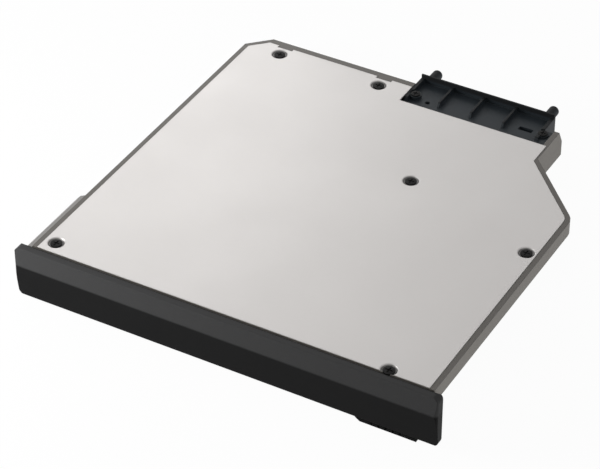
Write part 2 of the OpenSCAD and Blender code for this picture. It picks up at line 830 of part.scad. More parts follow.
module bay_connector()
    color("#303336")
    difference() {
        union() {
            along_x(conn_x0, conn_x1)
                polygon([[conn_y0, board_z1], [conn_y0, pocket_z], [conn_y1 - over, pocket_z],
                    [conn_y1, pocket_z - over], [conn_y1, floor_t + conn_edge],
                    [conn_y1 - conn_edge, floor_t], [board_y1 + seat_gap, floor_t],
                    [board_y1 + seat_gap, board_z1]]);
            along_x(conn_x0, conn_x1)
                polygon([[conn_y1 - conn_rear_wall, pocket_z - over], [conn_y1, pocket_z - over],
                    [conn_y1, conn_lip_z - conn_edge], [conn_y1 - conn_edge, conn_lip_z],
                    [conn_y1 - conn_rear_wall, conn_lip_z]]);
            pocket_wall(conn_x0, conn_end_wall);
            pocket_wall(conn_x1 - conn_end_wall, conn_end_wall);
            for (i = [-1:1])
                pocket_wall(conn_mid + conn_rib_shift + i*conn_rib_pitch - conn_rib_t/2, conn_rib_t,
                    conn_rib_in);
            block([conn_x1 - conn_end_wall, conn_y0 + ear_front_in, board_z1],
                [ear_x1, conn_y0 + ear_d, conn_boss_top - ear_drop]);
            intersection() {
                at_connector_screws()
                    translate([0, 0, board_z1])
                        cylinder(h = conn_boss_top - board_z1, r = conn_boss_r);
                block([conn_x0, conn_y0, board_z1], [ear_x1, conn_y1, conn_top]);
            }
            for (side = [-1, 1])
                translate([conn_mid + side*pin_pitch/2, conn_y1, pin_z]) guide_pin();
        }
        at_connector_screws() {
            translate([0, 0, board_z1 - over])
                cylinder(h = conn_post_top - board_z1 + over + seat_gap, r = conn_post_r + conn_post_gap);
            translate([0, 0, board_z1]) cylinder(h = body_h, r = conn_screw_r + screw_hole_gap);
            translate([0, 0, conn_boss_top]) cylinder(h = body_h, r = conn_boss_r - seat_gap);
        }
        difference() {
            block([conn_mid - slot_w/2, conn_y1 - slot_d, slot_z],
                [conn_mid + slot_w/2, conn_y1 + over, slot_z + slot_h]);
            block([conn_mid - slot_w/2 + tongue_end_in, conn_y1 - slot_d - over, mating_z0],
                [conn_mid + slot_w/2 - tongue_end_in, conn_y1 - tongue_tip_in,
                    mating_z0 + tongue_t]);
        }
        block([conn_x1 - window_in[0] - window_w/2, conn_y0 + window_in[1] - window_d/2,
                pocket_z - vent_depth],
            [conn_x1 - window_in[0] + window_w/2, conn_y0 + window_in[1] + window_d/2, body_h]);
        translate([conn_x0 + vent_in[0], conn_y0 + vent_in[1], pocket_z - vent_depth])
            cylinder(h = body_h, r = vent_r);
    }

module bay_contacts()
    color("#c9a24a")
    for (i = [0:contact_count - 1], z = [mating_z0 - contact_t, mating_z0 + tongue_t])
        chip([conn_mid + (i - (contact_count - 1)/2)*contact_pitch,
            conn_y1 - tongue_tip_in - contact_tip_in - contact_l/2, z],
            [contact_w, contact_l, contact_t]);

module connector_screws()
    color("#151515")
    at_connector_screws()
        difference() {
            translate([0, 0, conn_boss_top - conn_screw_len]) {
                cylinder(h = conn_screw_len + conn_screw_head_h, r = conn_screw_r);
                translate([0, 0, conn_screw_len])
                    cylinder(h = conn_screw_head_h, r1 = conn_screw_head_r,
                        r2 = conn_screw_head_r - conn_screw_head_h/2);
            }
            cross_slot(conn_screw_head_r, conn_boss_top + conn_screw_head_h);
        }

module latch_slider()
    color("#232324") {
        difference() {
            union() {
                block([slider_x0, front - slider_t - slider_gap,
                        bezel_bottom + bezel_wall + slider_foot_gap],
                    [slider_x1, front - slider_gap, wing_z - slider_head_drop]);
                block([neck_x0, front - slider_t - slider_gap, pad_top - pad_h/2],
                    [neck_x1, front - slider_gap, wing_z - slider_head_drop]);
                along_y(front - pad_t - slider_gap, front - slider_gap)
                    polygon([[pad_x0, pad_top], [pad_x0 + pad_slant, pad_bottom],
                        [pad_x1 - pad_end, pad_bottom], [pad_x1, pad_top]]);
                slab([[arm_x0, front - slider_t], [arm_x1, front - slider_t],
                    [arm_x1, front + arm_l - barb_slope], [arm_x1 - barb_slope, front + arm_l],
                    [arm_x0 - barb_w + barb_slope, front + arm_l],
                    [arm_x0 - barb_w, front + arm_l - barb_slope],
                    [arm_x0 - barb_w, front + arm_l - barb_l], [arm_x0, front + arm_l - barb_l]],
                    arm_z0, arm_z1);
                translate([arm_x1 - over, spring_y, spring_z])
                    rotate([0, 90, 0]) cylinder(h = spring_post_l + over, r = spring_post_r);
            }
            for (i = [0:grip_count - 1])
                translate([(pad_x0 + pad_x1)/2 + (i - (grip_count - 1)/2)*grip_pitch - grip_w/2,
                        front - pad_t - slider_gap - over, pad_bottom + grip_rise])
                    cube([grip_w, grip_d + over, pad_h]);
        }
    }

// The spring is one tube swept along a helix between the arm and the keeper's tab
function helix(i) = let (a = 360*i/rings_per_turn)
    [spring_x0 + (spring_x1 - spring_x0)*i/ring_count, spring_y + spring_r*cos(a),
        spring_z + spring_r*sin(a)];
function helix_ring(i) = let (
    a = 360*i/rings_per_turn,
    out = [0, cos(a), sin(a)],
    run = [(spring_x1 - spring_x0)/ring_count, -spring_r*sin(a)*2*PI/rings_per_turn,
        spring_r*cos(a)*2*PI/rings_per_turn],
    across = cross(run, out)/norm(run))
    [for (k = [0:spring_sides - 1]) let (b = 360*k/spring_sides)
        helix(i) + spring_wire_r*(cos(b)*out + sin(b)*across)];
spring_gap = min([for (i = [0:ring_count - 1], j = [i + rings_per_turn/2:ring_count])
    norm(helix(i) - helix(j))]) - 2*spring_wire_r;
echo(least_gap_between_spring_turns = spring_gap);

module latch_spring()
    color("#b8bcc0")
    polyhedron(
        points = [for (i = [0:ring_count]) each helix_ring(i)],
        faces = concat(
            [[for (k = [0:spring_sides - 1]) k]],
            [for (i = [0:ring_count - 1], k = [0:spring_sides - 1])
                let (p = i*spring_sides, q = p + spring_sides, m = (k + 1)%spring_sides)
                each [[p + k, q + k, q + m], [p + k, q + m, p + m]]],
            [[for (k = [spring_sides - 1:-1:0]) ring_count*spring_sides + k]]));

module latch_keeper()
    color("#a9aaa8")
    difference() {
        union() {
            block([keeper_x0, front, keeper_z0], [keeper_x1, front + keeper_t, keeper_z1]);
            block([keeper_tab_x0, front, keeper_tab_z[0]],
                [keeper_tab_x1, front + keeper_tab_l, keeper_tab_z[1]]);
        }
        block([arm_x0 - keeper_slot_gap, front - over, arm_z0 - keeper_slot_gap],
            [arm_x1 + latch_travel + keeper_slot_gap, front + keeper_t + over,
                arm_z1 + keeper_slot_gap]);
        for (x = latch_screw_x)
            translate([x, front + keeper_t + over, latch_screw_z])
                rotate([90, 0, 0]) cylinder(h = keeper_t + 2*over, r = latch_screw_r + thread_gap);
    }

module latch_screws()
    color("#2f2f2f")
    for (x = latch_screw_x)
        translate([x, front + keeper_t, latch_screw_z])
            rotate([90, 0, 0]) {
                cylinder(h = keeper_t + latch_screw_grip, r = latch_screw_r);
                translate([0, 0, -latch_screw_head_h]) {
                    cylinder(h = latch_screw_head_h/2, r1 = latch_screw_head_r - latch_screw_head_h/2,
                        r2 = latch_screw_head_r);
                    translate([0, 0, latch_screw_head_h/2])
                        cylinder(h = latch_screw_head_h/2, r = latch_screw_head_r);
                }
            }

module adapter_board()
    color("#1f4a33")
    difference() {
        block([board_x0, board_y0, board_z0], [board_x1, board_y1, board_z1]);
        at_rear_bosses() cylinder(h = body_h, r = boss_r + 2*conn_post_gap);
        at_connector_screws() cylinder(h = body_h, r = conn_post_r + conn_post_gap);
        at_board_screws() cylinder(h = body_h, r = board_screw_r + screw_hole_gap);
    }

module adapter_chips()
    color("#26282a") {
        chip([receptacle_screw_x + bridge_screw_gap, board_y0 + bridge_front_in, board_z1],
            bridge_size);
        chip([(rear_left_screw[0] + rear_middle_screw[0])/2, rear_left_screw[1], board_z1],
            regulator_size);
        for (i = [0, 1]) {
            chip([board_x0 + small_in[0], board_y0 + small_in[1] + i*small_pitch, board_z1],
                small_size);
            chip([conn_x0 - small_conn_gap, rear_left_screw[1] - i*small_pitch, board_z1],
                small_size);
        }
    }

module board_screws()
    color("#8b8d90")
    at_board_screws()
        difference() {
            translate([0, 0, board_screw_end_z]) {
                cylinder(h = board_z1 - board_screw_end_z + board_screw_head_h, r = board_screw_r);
                translate([0, 0, board_z1 - board_screw_end_z])
                    cylinder(h = board_screw_head_h, r1 = board_screw_head_r,
                        r2 = board_screw_head_r - board_screw_head_h/2);
            }
            cross_slot(board_screw_head_r, board_z1 + board_screw_head_h);
        }

module insulating_sheet()
    color("#b9b2a0")
    difference() {
        block([board_x0 + sheet_in, board_y0 + sheet_in, floor_t],
            [board_x1 - sheet_right_in, board_y1 - sheet_in, floor_t + sheet_t]);
        at_rear_bosses() cylinder(h = body_h, r = boss_r + 2*conn_post_gap);
        at_connector_screws() cylinder(h = body_h, r = conn_post_r + conn_post_gap);
        at_board_screws() cylinder(h = body_h, r = post_r + conn_post_gap);
    }

module plug_tongues(gap, length)
    for (t = [[signal_x0, signal_w], [power_x0, power_w]])
        block([t[0] - gap, plug_y1, tongue_z0 - gap],
            [t[0] + t[1] + gap, plug_y1 + length, tongue_z1 + gap]);

module drive_receptacle()
    color("#1d1e20")
    difference() {
        union() {
            along_x(plug_mid - receptacle_w/2, plug_mid + receptacle_w/2)
                polygon([[receptacle_y0, board_z1], [receptacle_y0, receptacle_top],
                    [receptacle_y1 - tail_l, receptacle_top], [receptacle_y1, receptacle_top - tail_l],
                    [receptacle_y1, board_z1]]);
            block([plug_mid - nose_w/2, receptacle_y0 - nose_l, tongue_z0 - nose_skin],
                [plug_mid + nose_w/2, receptacle_y0 + over, receptacle_top]);
        }
        plug_tongues(nose_gap, plug_tongue_l + nose_gap);
    }

module receptacle_contacts()
    color("#c8c4b4")
    for (i = [0:signal_pads + power_pads - 1])
        translate([plug_mid + (i - (signal_pads + power_pads - 1)/2)*pad_pitch - tail_w/2, 0, 0])
            along_x(0, tail_w)
                polygon([[receptacle_y1, board_z1], [receptacle_y1 + tail_l, board_z1],
                    [receptacle_y1 + tail_l, board_z1 + tail_t],
                    [receptacle_y1 + tail_t, board_z1 + tail_t],
                    [receptacle_y1 + tail_t, board_z1 + tail_h], [receptacle_y1, board_z1 + tail_h]]);

module drive_mount_screws()
    color("#3b3b3d")
    at_drive_screws()
        translate([0, 0, screw_sink])
            flat_screw(mount_head_r, mount_head_h, mount_screw_r, mount_screw_end - screw_sink);

module foam_pads()
    color("#3f4143")
    for (share = foam_column_shares)
        chip([ssd_x0 + share*ssd_w, (ssd_y0 + ssd_y1)/2, ssd_z1],
            [foam_w, foam_length_share*ssd_l, ledge_z - ssd_z1]);

module ssd_case_base()
    color("#8f9296")
    difference() {
        union() {
            difference() {
                case_plate(0, ssd_z0, base_top);
                case_plate(ssd_wall, base_floor, base_top + over);
            }
            intersection() {
                case_plate(ssd_wall/2, ssd_z0, base_top);
                union() {
                    at_lid_screws()
                        translate([0, 0, ssd_z0]) cylinder(h = base_top - ssd_z0, r = lid_boss_r);
                    at_drive_screws()
                        translate([0, 0, ssd_z0]) cylinder(h = pcb_z0 - ssd_z0, r = mount_boss_r);
                }
            }
        }
        block([plug_mid - plug_w/2 - window_side_gap, ssd_y1 - ssd_wall - over, pcb_z0],
            [plug_mid + plug_w/2 + window_side_gap, ssd_y1 + over, base_top + over]);
        at_lid_screws()
            translate([0, 0, ssd_z1 - lid_screw_len - seat_gap - thread_gap])
                cylinder(h = body_h, r = lid_screw_r + thread_gap);
        at_drive_screws() cylinder(h = mount_screw_end + thread_gap, r = mount_screw_r + thread_gap);
    }

module case_plate(inset_by, z0, z1)
    translate([0, 0, z0])
        linear_extrude(z1 - z0)
            round_rect([ssd_x0 + inset_by, ssd_y0 + inset_by], [ssd_x1 - inset_by, ssd_y1 - inset_by],
                case_round - inset_by);

module ssd_case_lid()
    color("#a2a5a8")
    difference() {
        union() {
            case_plate(0, base_top, ssd_z1);
            for (x = [ssd_x0 + ssd_wall + lid_gap, ssd_x1 - ssd_wall - lid_gap - lid_lip_t])
                block([x, ssd_y0 + lid_lip_end_in, base_top - lid_lip_h],
                    [x + lid_lip_t, ssd_y1 - lid_lip_end_in, base_top + lid_t/2]);
        }
        at_lid_screws()
            translate([0, 0, ssd_z1])
                rotate([180, 0, 0])
                    screw_hole(lid_screw_head_r, lid_screw_head_h, lid_screw_r, lid_t + over);
    }

module ssd_case_screws()
    color("#4a4b4d")
    at_lid_screws()
        translate([0, 0, ssd_z1 - screw_sink])
            rotate([180, 0, 0])
                flat_screw(lid_screw_head_r, lid_screw_head_h, lid_screw_r, lid_screw_len);

module ssd_board()
    color("#17603e")
    block([pcb_x0, pcb_y0, pcb_z0], [pcb_x1, pcb_y1, pcb_z1]);

module ssd_plug()
    color("#191a1c") {
        block([plug_x0, plug_y0, pcb_z1], [plug_x0 + plug_w, plug_y1, pcb_z1 + plug_body_h]);
        plug_tongues(0, plug_tongue_l);
    }

module ssd_plug_contacts()
    color("#d0a94e")
    for (row = [[signal_x0 + signal_w/2, signal_pads], [power_x0 + power_w/2, power_pads]],
        i = [0:row[1] - 1])
        chip([row[0] + (i - (row[1] - 1)/2)*pad_pitch,
            plug_y1 + plug_tongue_l - contact_tip_in - pad_size[1]/2, tongue_z1], pad_size);

// A place on the drive's board, given by shares of its two sides
function on_board(x_share, y_share) =
    [pcb_x0 + x_share*(pcb_x1 - pcb_x0), pcb_y0 + y_share*(pcb_y1 - pcb_y0), pcb_z1];

module ssd_controller()
    color("#202224")
    chip(on_board(controller_share[0], controller_share[1]), controller_size);

module ssd_memory_chips()
    color("#1c1d1f")
    for (x = memory_column_shares, y = memory_row_shares) chip(on_board(x, y), memory_size);

module ssd_cache_chip()
    color("#232527")
    chip(on_board(cache_share[0], cache_share[1]), cache_size);

module ssd_passives()
    color("#8a6a48") {
        for (x = passive_shares) chip(on_board(x, passive_row_share), passive_size);
        chip(on_board(choke_share[0], choke_share[1]), choke_size);
    }

module thermal_pads()
    color("#b7c0cc") {
        chip(on_board(controller_share[0], controller_share[1]) + [0, 0, controller_size[2]],
            [controller_size[0] - 2*pad_margin, controller_size[1] - 2*pad_margin,
                base_top - pcb_z1 - controller_size[2]]);
        for (y = memory_row_shares)
            chip(on_board(1/2, y) + [0, 0, memory_size[2]],
                [(memory_column_shares[3] - memory_column_shares[0])*(pcb_x1 - pcb_x0)
                    + memory_size[0] - 2*pad_margin, memory_size[1]/2,
                    base_top - pcb_z1 - memory_size[2]]);
    }

base_tray();
top_cover();
cover_screws();
front_bezel();
bezel_screws();
side_guide_rail();
rail_screws();
bay_connector();
bay_contacts();
connector_screws();
latch_slider();
latch_spring();
latch_keeper();
latch_screws();
adapter_board();
adapter_chips();
board_screws();
insulating_sheet();
drive_receptacle();
receptacle_contacts();
drive_mount_screws();
foam_pads();
ssd_case_base();
ssd_case_lid();
ssd_case_screws();
ssd_board();
ssd_plug();
ssd_plug_contacts();
ssd_controller();
ssd_memory_chips();
ssd_cache_chip();
ssd_passives();
thermal_pads();
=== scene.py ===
# %% [markdown]
# # A drive module for a slim bay
# The object is a solid state drive in a flat metal tray. A satin sheet closes the tray, six small
# screws hold the sheet, a black moulded bezel covers the front and a black connector sits at the
# back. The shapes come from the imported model, which is loaded first. This script gives every
# surface its finish and makes again, in finer form, the small pieces that repeat.

# %% Load the frame
import math

import bmesh
import bpy
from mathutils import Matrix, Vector


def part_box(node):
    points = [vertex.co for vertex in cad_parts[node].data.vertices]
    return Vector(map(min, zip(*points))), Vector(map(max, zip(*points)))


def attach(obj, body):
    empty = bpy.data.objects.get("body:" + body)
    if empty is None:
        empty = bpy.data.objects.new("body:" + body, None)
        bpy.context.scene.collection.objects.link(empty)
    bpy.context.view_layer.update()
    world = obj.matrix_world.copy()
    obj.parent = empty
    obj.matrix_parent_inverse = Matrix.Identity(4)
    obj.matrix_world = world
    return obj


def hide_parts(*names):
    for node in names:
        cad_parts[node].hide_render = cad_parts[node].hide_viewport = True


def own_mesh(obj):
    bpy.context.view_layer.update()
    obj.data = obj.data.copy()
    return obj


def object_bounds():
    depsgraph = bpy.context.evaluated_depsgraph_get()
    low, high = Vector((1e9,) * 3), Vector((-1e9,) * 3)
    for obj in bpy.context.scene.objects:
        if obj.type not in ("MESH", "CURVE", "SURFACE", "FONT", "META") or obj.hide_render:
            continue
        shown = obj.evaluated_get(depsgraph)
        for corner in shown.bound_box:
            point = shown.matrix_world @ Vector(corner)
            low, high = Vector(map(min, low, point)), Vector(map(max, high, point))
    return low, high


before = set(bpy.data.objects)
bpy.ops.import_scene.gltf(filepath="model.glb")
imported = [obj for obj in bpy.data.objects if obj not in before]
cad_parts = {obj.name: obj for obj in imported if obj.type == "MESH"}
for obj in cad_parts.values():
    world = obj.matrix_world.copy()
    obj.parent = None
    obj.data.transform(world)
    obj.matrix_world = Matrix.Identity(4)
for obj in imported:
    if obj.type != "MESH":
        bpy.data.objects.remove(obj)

MM = 0.001

cad_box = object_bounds()
cad_size = [round((high - low) / MM, 2) for low, high in zip(*cad_box)]
print("the packed model has", len(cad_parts), "nodes and measures", cad_size, "mm")

# %% [markdown]
# # One small language for node trees
# Shader trees and geometry trees are both graphs of nodes. Wiring them by hand takes many lines,
# so one class wraps an output socket and lets Python's own operators add Math nodes, and one
# method adds any other node. A material then reads like the formula that it is.

# %% A wire that can be added and multiplied
class Wire:
    """An output socket. Sums, products and powers of wires add Math nodes to their tree."""

    def __init__(self, graph, socket):
        self.graph = graph
        self.socket = socket

    def math(self, operation, first, second):
        inputs = {0: first, 1: second}
        return self.graph.node("ShaderNodeMath", {"operation": operation}, inputs)

    def __add__(self, other):
        return self.math("ADD", self, other)

    def __radd__(self, other):
        return self.math("ADD", other, self)

    def __sub__(self, other):
        return self.math("SUBTRACT", self, other)

    def __rsub__(self, other):
        return self.math("SUBTRACT", other, self)

    def __mul__(self, other):
        return self.math("MULTIPLY", self, other)

    def __rmul__(self, other):
        return self.math("MULTIPLY", other, self)

    def __truediv__(self, other):
        return self.math("DIVIDE", self, other)

    def __pow__(self, other):
        return self.math("POWER", self, other)

    def clipped(self):
        """The same value, kept between 0 and 1."""
        return self.graph.node("ShaderNodeClamp", None, {"Value": self})


print("wires can be added, multiplied and raised to a power")

# %% A graph that grows by calls
class Graph:
    """A node tree that grows by calls of node(), each giving one output as a Wire."""

    def __init__(self, tree):
        self.tree = tree
        tree.nodes.clear()

    def node(self, kind, settings=None, inputs=None, output=0):
        """Add a node, set its settings, then feed its inputs with values or wires."""
        made = self.tree.nodes.new(kind)
        for name, value in (settings or {}).items():
            setattr(made, name, value)
        for name, value in (inputs or {}).items():
            self.feed(made.inputs[name], value)
        return Wire(self, made.outputs[output]) if len(made.outputs) else None

    def feed(self, socket, value):
        """Set a socket to a number or colour, or link a wire or a list of wires to it."""
        for one in value if isinstance(value, list) else [value]:
            if isinstance(one, Wire):
                self.tree.links.new(one.socket, socket)
            else:
                socket.default_value = one

    def other(self, wire, output):
        """Another output of the node that a wire comes from."""
        return Wire(self, wire.socket.node.outputs[output])


print("graphs are ready, and lengths are given as numbers of", MM, "m")

# %% [markdown]
# # The camera
# The photograph was taken with a long lens from the front right, looking down at 37 degrees. Its
# place was found by matching the module's own edges and screws to the picture, so here it is only
# set up: a point to look at, two angles, a distance and a lens. A distance and a focal length that
# are both long keep the edges nearly parallel, as they are in the photograph.

# %% Camera
AZIMUTH = math.radians(29.406)
ELEVATION = math.radians(37.383)
DISTANCE = 756.93 * MM
LOOK_AT = Vector((-0.39, -21.31, 9.5)) * MM
FOCAL_PIXELS = 2658.0
IMAGE_WIDTH = 600
SENSOR = 36.0
NEAREST, FARTHEST = 0.01, 50.0

camera_data = bpy.data.cameras.new("photo_camera")
camera_data.sensor_fit = "HORIZONTAL"
camera_data.sensor_width = SENSOR
camera_data.lens = SENSOR * FOCAL_PIXELS / IMAGE_WIDTH
camera_data.clip_start = NEAREST
camera_data.clip_end = FARTHEST
camera = bpy.data.objects.new("photo_camera", camera_data)
bpy.context.scene.collection.objects.link(camera)
away = Vector((
    math.sin(AZIMUTH) * math.cos(ELEVATION),
    -math.cos(AZIMUTH) * math.cos(ELEVATION),
    math.sin(ELEVATION),
))
camera.location = LOOK_AT + DISTANCE * away
camera.rotation_euler = (-away).to_track_quat("-Z", "Y").to_euler()
bpy.context.scene.camera = camera
print("lens", round(camera_data.lens, 1), "mm, camera", round(DISTANCE, 3), "m away")

# %% [markdown]
# # The floor
# Put down on a table, the module stands on the thumb pad under its bezel and on a rear edge, so it
# leans back a little. The frame keeps the tray level, so the floor takes the lean instead. The two
# feet are corners of the lower hull of the side view, the string that would be pulled tight under
# the module: its last corner in front of the middle and its first one behind it.

# %% The two feet
def lower_hull(points):
    """The corners of the lower side of the hull of some flat points, from left to right."""
    hull = []
    for p in sorted(points):
        while len(hull) > 1:
            (ax, az), (bx, bz) = hull[-2:]
            if (bx - ax) * (p[1] - az) > (bz - az) * (p[0] - ax):
                break
            hull.pop()
        hull.append(p)
    return hull


side_view = lower_hull({
    (round(v.co.y, 6), round(v.co.z, 6))
    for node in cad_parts.values() for v in node.data.vertices})
rear_foot = next(p for p in side_view if p[0] > 0)
front_foot = [p for p in side_view if p[0] <= 0][-1]
lean = (rear_foot[1] - front_foot[1]) / (rear_foot[0] - front_foot[0])
print("feet at", front_foot, rear_foot, "lean", round(math.degrees(math.atan(lean)), 2), "degrees")

# %% The floor's sheet of paper
FLOOR_REACH = 6.0
FLOOR_GAP = 0.02 * MM


def floor_height(y):
    return front_foot[1] + lean * (y - front_foot[0]) - FLOOR_GAP


floor_corners = [
    (-FLOOR_REACH, -FLOOR_REACH), (FLOOR_REACH, -FLOOR_REACH),
    (FLOOR_REACH, FLOOR_REACH), (-FLOOR_REACH, FLOOR_REACH)]
floor_mesh = bpy.data.meshes.new("floor")
floor_mesh.from_pydata([(x, y, floor_height(y)) for x, y in floor_corners], [], [(0, 1, 2, 3)])
floor = bpy.data.objects.new("floor", floor_mesh)
bpy.context.scene.collection.objects.link(floor)
print("floor under the module's middle at", round(floor_height(0.0) / MM, 2), "mm")

# %% [markdown]
# # A white background
# The background of the photograph is pure white. More light would bleach the object as well, so
# only the rays that show the background see white paper: those that go straight to the camera and
# those that reach it by way of metal or glass. All other rays see plain paper and a dim sky, which
# light the object at a level where colours come out as they are written. A small share of plain
# paper is kept for the camera too, so that the object's shadow stays on the floor.

# %% What shows white
FLOOR_WHITE = (0.94, 0.94, 0.94, 1.0)
WHITE = (1.0, 1.0, 1.0, 1.0)
GLOW_SHARE = 0.96
AMBIENT = 0.25


def background_rays(graph):
    """1 for the rays that show the background to the camera, 0 for the rest."""
    direct = graph.node("ShaderNodeLightPath")
    mirrored = graph.other(direct, "Is Glossy Ray")
    through = graph.other(direct, "Is Transmission Ray")
    return (direct + mirrored + through).clipped()


floor_paper = bpy.data.materials.new("floor_paper")
floor_paper.use_nodes = True
paper = Graph(floor_paper.node_tree)
glow_share = GLOW_SHARE * background_rays(paper)
lit = paper.node("ShaderNodeBsdfDiffuse", None, {"Color": FLOOR_WHITE})
glow = paper.node("ShaderNodeEmission", None, {"Color": WHITE, "Strength": 1.0})
blend = paper.node("ShaderNodeMixShader", None, {0: glow_share, 1: lit, 2: glow})
paper.node("ShaderNodeOutputMaterial", None, {"Surface": blend})
floor_mesh.materials.append(floor_paper)

world = bpy.data.worlds.new("studio")
bpy.context.scene.world = world
world.use_nodes = True
sky = Graph(world.node_tree)
strength = AMBIENT + (1.0 - AMBIENT) * background_rays(sky)
backdrop = sky.node("ShaderNodeBackground", None, {"Color": WHITE, "Strength": strength})
sky.node("ShaderNodeOutputWorld", None, {"Surface": backdrop})
bpy.context.scene.view_settings.view_transform = "Standard"
print("floor and sky show white, and the sky lights at a strength of", AMBIENT)

# %% [markdown]
# # The lamps
# In the photograph the cover is palest at the back left and greyer towards the front right, so the
# key lamp hangs behind the left rear corner, where the cover's sheen catches it, with a weak one
# beside it. A low lamp at the front left lights the bezel, whose left end is the paler one. A wide
# lamp on the right and one overhead lift what is left. Near, large lamps give the soft edges of a
# light tent.

# %% Five soft boxes
# A lamp's name, its place and the point it is turned to, its width, all in metres, and its watts
SOFT_BOXES = {
    "key_box": ((-0.29, 0.34, 0.24), (-0.05, 0.03, 0.0), 0.18, 0.43),
    "front_box": ((-0.24, -0.17, 0.09), (-0.06, -0.06, 0.0), 0.14, 0.85),
    "back_box": ((-0.10, 0.42, 0.25), (-0.02, 0.03, 0.0), 0.25, 0.10),
    "fill_box": ((0.45, -0.10, 0.25), (0.04, 0.0, 0.0), 0.30, 0.30),
    "top_box": ((-0.05, 0.0, 0.50), (-0.02, 0.0, 0.0), 0.30, 0.08),
}
for name, (place, aim, width, watts) in SOFT_BOXES.items():
    lamp = bpy.data.lights.new(name, "AREA")
    lamp.shape = "SQUARE"
    lamp.size = width
    lamp.energy = watts
    holder = bpy.data.objects.new(name, lamp)
    holder.location = place
    holder.rotation_euler = (Vector(aim) - Vector(place)).to_track_quat("-Z", "Y").to_euler()
    bpy.context.scene.collection.objects.link(holder)

# %% [markdown]
# # Finishes
# Each finish is one function. It starts from the Principled shader, whose constants are set on its
# own sockets, and varies only colour, roughness and bump over the surface. All patterns read
# Object coordinates, which are metres here, so a noise of scale 2000 has grains of half a
# millimetre. Sheared and moulded edges are never razor sharp, so a Bevel node rounds the shading
# of the edges a little without touching the mesh. Where the rounded and the true normal part, an
# edge is near, and that is where a coat is rubbed.

# %% Finish helpers
class Finish(Graph):
    """A material with a Principled shader whose edges are rounded in the shading."""

    BEVEL_SAMPLES = 6
    WEAR_STARTS, WEAR_IS_FULL = 0.01, 0.25

    def __init__(self, name, **constants):
        self.material = bpy.data.materials.new(name)
        self.material.use_nodes = True
        super().__init__(self.material.node_tree)
        self.place = self.node("ShaderNodeTexCoord", output=3)
        self.skin = self.node("ShaderNodeBsdfPrincipled")
        self.node("ShaderNodeOutputMaterial", None, {"Surface": self.skin})
        for socket, value in constants.items():
            self.set(socket.replace("_", " "), value)

    def set(self, socket, value):
        self.feed(self.skin.socket.node.inputs[socket], value)

    def stretched(self, x, y, z):
        """The place on the object, scaled by another number along each axis."""
        return self.node("ShaderNodeMapping", None, {"Vector": self.place, "Scale": (x, y, z)})

    def noise(self, scale, detail=3.0, where=None):
        inputs = {"Vector": where or self.place, "Scale": scale, "Detail": detail}
        return self.node("ShaderNodeTexNoise", None, inputs)

    def mixed(self, factor, first, second):
        """Two colours or colour wires mixed by a factor."""
        inputs = {0: factor, 6: self.rgba(first), 7: self.rgba(second)}
        return self.node("ShaderNodeMix", {"data_type": "RGBA"}, inputs, output=2)

    def rgba(self, colour):
        return colour if isinstance(colour, Wire) else (*colour, 1.0)

    def banded(self, wire, low, high):
        """0 where the wire is below low, 1 above high, smooth in between."""
        inputs = {"Value": wire, "From Min": low, "From Max": high}
        return self.node("ShaderNodeMapRange", {"interpolation_type": "SMOOTHSTEP"}, inputs)

    def above(self, low, high):
        """0 on what lies under the height low, 1 over the height high."""
        z = self.node("ShaderNodeSeparateXYZ", None, {0: self.place}, output=2)
        return self.banded(z, low, high)

    def rounded(self, radius):
        """The normal with edges rounded to a radius."""
        return self.node("ShaderNodeBevel", {"samples": self.BEVEL_SAMPLES}, {"Radius": radius})

    def worn(self, radius):
        """How near an edge is, from 0 on a flat face to about 1 on an edge."""
        normals = {0: self.rounded(radius), 1: self.node("ShaderNodeNewGeometry", output=1)}
        settings = {"operation": "DOT_PRODUCT"}
        same = self.node("ShaderNodeVectorMath", settings, normals, output=1)
        return self.banded(1.0 - same, self.WEAR_STARTS, self.WEAR_IS_FULL)

    def bumped(self, height, distance, strength, radius):
        """Bumps of a depth and strength, on edges rounded to a radius."""
        inputs = {
            "Height": height, "Distance": distance, "Strength": strength,
            "Normal": self.rounded(radius)}
        self.set("Normal", self.node("ShaderNodeBump", None, inputs))


def dress(finish, *nodes):
    """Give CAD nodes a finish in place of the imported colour."""
    for node in nodes:
        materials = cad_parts[node].data.materials
        materials.clear()
        materials.append(finish)
    print(finish.name, "on", ", ".join(nodes))


print("finishes can be mixed and given to nodes")

# %% [markdown]
# # The satin cover
# The cover is rolled aluminium sheet. Rolling leaves a faint grain along one direction, which
# catches the light as a soft sheen, and handling leaves cloudy spots where the sheen is a little
# duller. Noise that is stretched along X makes the grain and broad noise makes the clouds. The
# dimples around the screws lie below the sheet's top, so their height tells where they are, and
# they are painted dark, as painted shade in the hollows around the heads.

# %% Cover finish
SHEET_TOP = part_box("top_cover")[1].z


def satin_sheet():
    rolled, handled = (0.538, 0.520, 0.508), (0.512, 0.494, 0.482)
    in_the_grain = (0.43, 0.417, 0.405)
    painted_dimple_shade = (0.13, 0.125, 0.12)
    sheet = Finish("satin_sheet", Metallic=0.45)
    along_x = sheet.stretched(x=350.0, y=9000.0, z=350.0)
    grain = sheet.noise(scale=1.0, detail=4.0, where=along_x)
    clouds = sheet.noise(scale=38.0)
    specks = sheet.noise(scale=2600.0, detail=2.0)
    pale = sheet.mixed(clouds, rolled, handled)
    pale = sheet.mixed(0.12 * grain, pale, in_the_grain)
    # The dimples, found by their height, are painted dark: painted shade in the hollows around the
    # screw heads.
    flat = sheet.above(low=SHEET_TOP - 0.35 * MM, high=SHEET_TOP - 0.05 * MM)
    sheet.set("Base Color", sheet.mixed(flat, painted_dimple_shade, pale))
    sheet.set("Roughness", 0.38 + 0.08 * clouds + 0.08 * grain)
    sheet.bumped(0.7 * grain + 0.3 * specks, distance=0.006 * MM, strength=0.35, radius=0.3 * MM)
    return sheet.material


